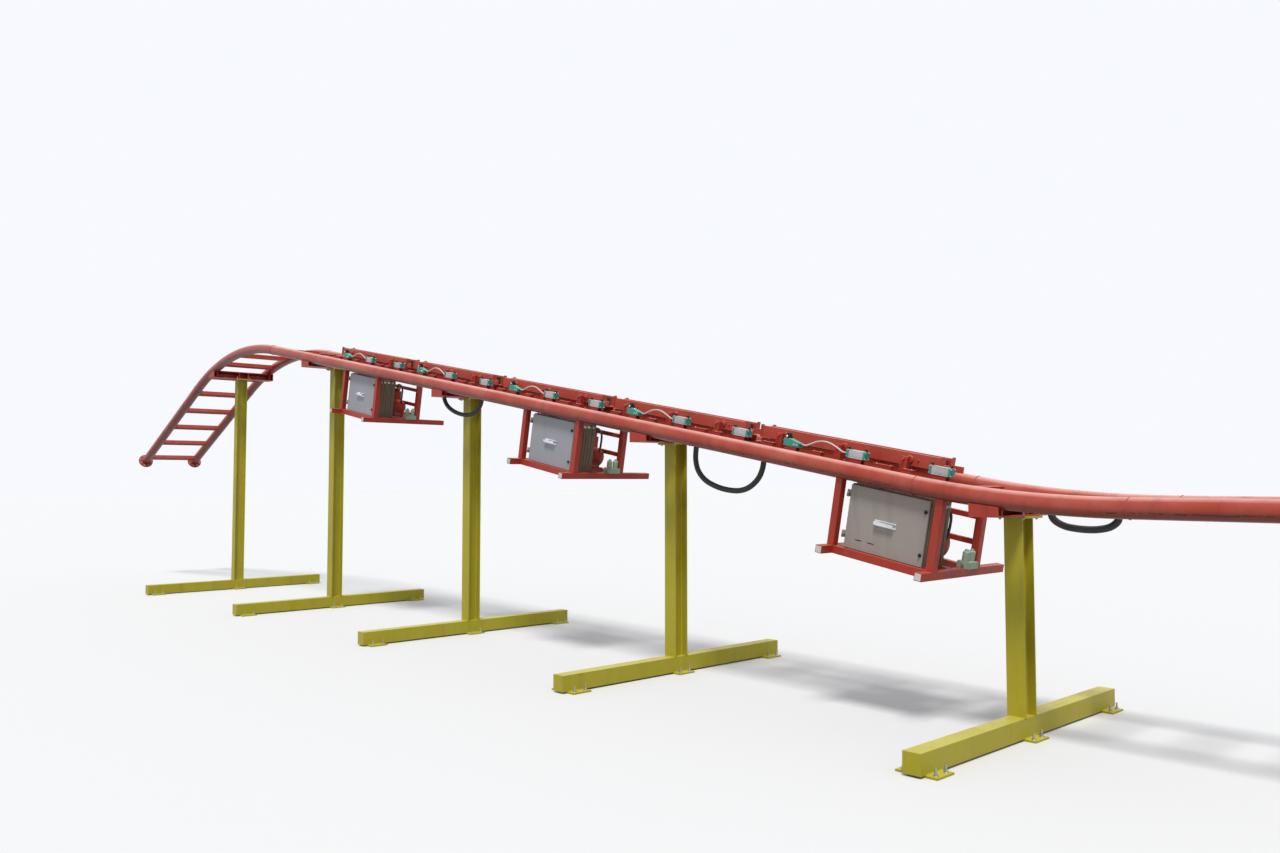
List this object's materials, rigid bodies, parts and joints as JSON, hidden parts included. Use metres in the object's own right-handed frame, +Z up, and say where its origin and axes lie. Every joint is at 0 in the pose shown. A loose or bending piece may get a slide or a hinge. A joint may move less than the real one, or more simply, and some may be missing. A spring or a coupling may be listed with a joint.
{
  "type": "roller coaster brake track section",
  "caption": "Two-tube coaster track over a crest, with jaw brakes between the rails, control cabinets slung beneath and columns on base beams.",
  "frame": {"origin": "underside of the middle support's central foot plate, on the track's middle plane", "axes": "+X along the track downhill, +Y towards the far rail, +Z up"},
  "size_m": [19.5938, 2.9, 3.9501],
  "materials": {
    "rail_paint": "red paint, sun-faded on top",
    "red_paint": "red paint, weathered",
    "jaw_paint": "red paint, dusty",
    "yellow_paint": "olive yellow paint",
    "bright_metal": "satin",
    "teal_paint": "teal paint",
    "hose": "matt",
    "cabinet_side": "brown paint, dusty",
    "door_paint": "pale grey paint",
    "handle_metal": "bright",
    "gland_plastic": "matt",
    "black_metal": "black",
    "cable_sheath": "black corrugated sheath"
  },
  "bodies": {
    "track": {"near_rail": "rail_paint", "far_rail": "rail_paint", "rail_flanges": "red_paint", "cross_ties": "red_paint", "saddles": "red_paint", "equipment_shelf": "red_paint", "support_1": "yellow_paint", "support_2": "yellow_paint", "support_3": "yellow_paint", "support_4": "yellow_paint", "support_5": "yellow_paint", "carrier_1": "red_paint", "carrier_2": "red_paint", "carrier_3": "red_paint", "carrier_4": "red_paint", "carrier_5": "red_paint", "cylinder_barrels": "bright_metal", "cylinder_caps": "teal_paint", "valve_bodies": "teal_paint", "air_hose_1": "hose", "air_hose_2": "hose", "air_hose_3": "hose", "air_hose_4": "hose", "air_hose_5": "hose", "cradle_1": "red_paint", "cabinet_1": "cabinet_side", "air_receiver_1": "red_paint", "cradle_2": "red_paint", "cabinet_2": "cabinet_side", "air_receiver_2": "red_paint", "cradle_3": "red_paint", "cabinet_3": "cabinet_side", "air_receiver_3": "red_paint", "cabinet_glands": "gland_plastic", "cable_tabs": "black_metal", "cable_loop_1": "cable_sheath", "cable_loop_2": "cable_sheath", "cable_loop_3": "cable_sheath"},
    "near_jaw_1": {"jaw_near_1": "jaw_paint"},
    "far_jaw_1": {"jaw_far_1": "jaw_paint"},
    "near_jaw_2": {"jaw_near_2": "jaw_paint"},
    "far_jaw_2": {"jaw_far_2": "jaw_paint"},
    "near_jaw_3": {"jaw_near_3": "jaw_paint"},
    "far_jaw_3": {"jaw_far_3": "jaw_paint"},
    "near_jaw_4": {"jaw_near_4": "jaw_paint"},
    "far_jaw_4": {"jaw_far_4": "jaw_paint"},
    "near_jaw_5": {"jaw_near_5": "jaw_paint"},
    "far_jaw_5": {"jaw_far_5": "jaw_paint"},
    "cabinet_door_1": {"door_1": "door_paint", "handle_1": "handle_metal"},
    "cabinet_door_2": {"door_2": "door_paint", "handle_2": "handle_metal"},
    "cabinet_door_3": {"door_3": "door_paint", "handle_3": "handle_metal"}
  },
  "joints": [
    {"name": "brake_1", "type": "slide", "parent": "track", "child": "near_jaw_1", "axis": [0, 1, 0], "range_m": [0, 0.02]},
    {"name": "brake_far_1", "type": "slide", "parent": "track", "child": "far_jaw_1", "axis": [0, -1, 0], "range_m": [0, 0.02]},
    {"name": "brake_2", "type": "slide", "parent": "track", "child": "near_jaw_2", "axis": [0, 1, 0], "range_m": [0, 0.02]},
    {"name": "brake_far_2", "type": "slide", "parent": "track", "child": "far_jaw_2", "axis": [0, -1, 0], "range_m": [0, 0.02]},
    {"name": "brake_3", "type": "slide", "parent": "track", "child": "near_jaw_3", "axis": [0, 1, 0], "range_m": [0, 0.02]},
    {"name": "brake_far_3", "type": "slide", "parent": "track", "child": "far_jaw_3", "axis": [0, -1, 0], "range_m": [0, 0.02]},
    {"name": "brake_4", "type": "slide", "parent": "track", "child": "near_jaw_4", "axis": [0, 1, 0], "range_m": [0, 0.02]},
    {"name": "brake_far_4", "type": "slide", "parent": "track", "child": "far_jaw_4", "axis": [0, -1, 0], "range_m": [0, 0.02]},
    {"name": "brake_5", "type": "slide", "parent": "track", "child": "near_jaw_5", "axis": [0, 1, 0], "range_m": [0, 0.02]},
    {"name": "brake_far_5", "type": "slide", "parent": "track", "child": "far_jaw_5", "axis": [0, -1, 0], "range_m": [0, 0.02]},
    {"name": "door_1_hinge", "type": "hinge", "parent": "track", "child": "cabinet_door_1", "pos_m": [5.75174, -0.44, 1.56592], "axis": [-0.1788, 0, -0.9839], "range_deg": [0, 110]},
    {"name": "door_2_hinge", "type": "hinge", "parent": "track", "child": "cabinet_door_2", "pos_m": [1.72273, -0.44, 2.29812], "axis": [-0.1788, 0, -0.9839], "range_deg": [0, 110]},
    {"name": "door_3_hinge", "type": "hinge", "parent": "track", "child": "cabinet_door_3", "pos_m": [-2.30628, -0.44, 3.03031], "axis": [-0.1788, 0, -0.9839], "range_deg": [0, 110]}
  ],
  "couplings": [
    {"joint": "brake_far_1", "follows": "brake_1", "ratio": 1},
    {"joint": "brake_far_2", "follows": "brake_2", "ratio": 1},
    {"joint": "brake_far_3", "follows": "brake_3", "ratio": 1},
    {"joint": "brake_far_4", "follows": "brake_4", "ratio": 1},
    {"joint": "brake_far_5", "follows": "brake_5", "ratio": 1}
  ]
}
